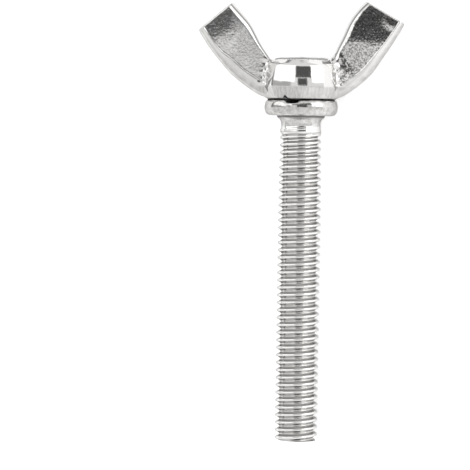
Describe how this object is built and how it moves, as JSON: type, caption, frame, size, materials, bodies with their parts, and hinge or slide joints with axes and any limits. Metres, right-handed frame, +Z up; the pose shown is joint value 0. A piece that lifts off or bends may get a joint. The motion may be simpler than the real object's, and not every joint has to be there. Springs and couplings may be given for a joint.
{
  "type": "wing screw",
  "caption": "Riveted wing screw: a shank with a right-hand machine thread and a round collar, and a forged hub with raised wings for turning it by hand.",
  "frame": {"origin": "middle of the footprint of the screw as it lies at rest, on the floor", "axes": "+Z up; +Y along the screw towards its head, whose axis rises 2.66 degrees that way because the collar is wider than the thread; +X towards the right wing, whose tip is on the floor, so the span of the wings is rolled 18 degrees about the screw's axis"},
  "size_m": [0.0184, 0.0412, 0.0076],
  "materials": {
    "stud_plating": "polished",
    "head_plating": "gloss"
  },
  "bodies": {
    "root": {"threaded_stud": "stud_plating", "wing_head": "head_plating"}
  },
  "joints": []
}
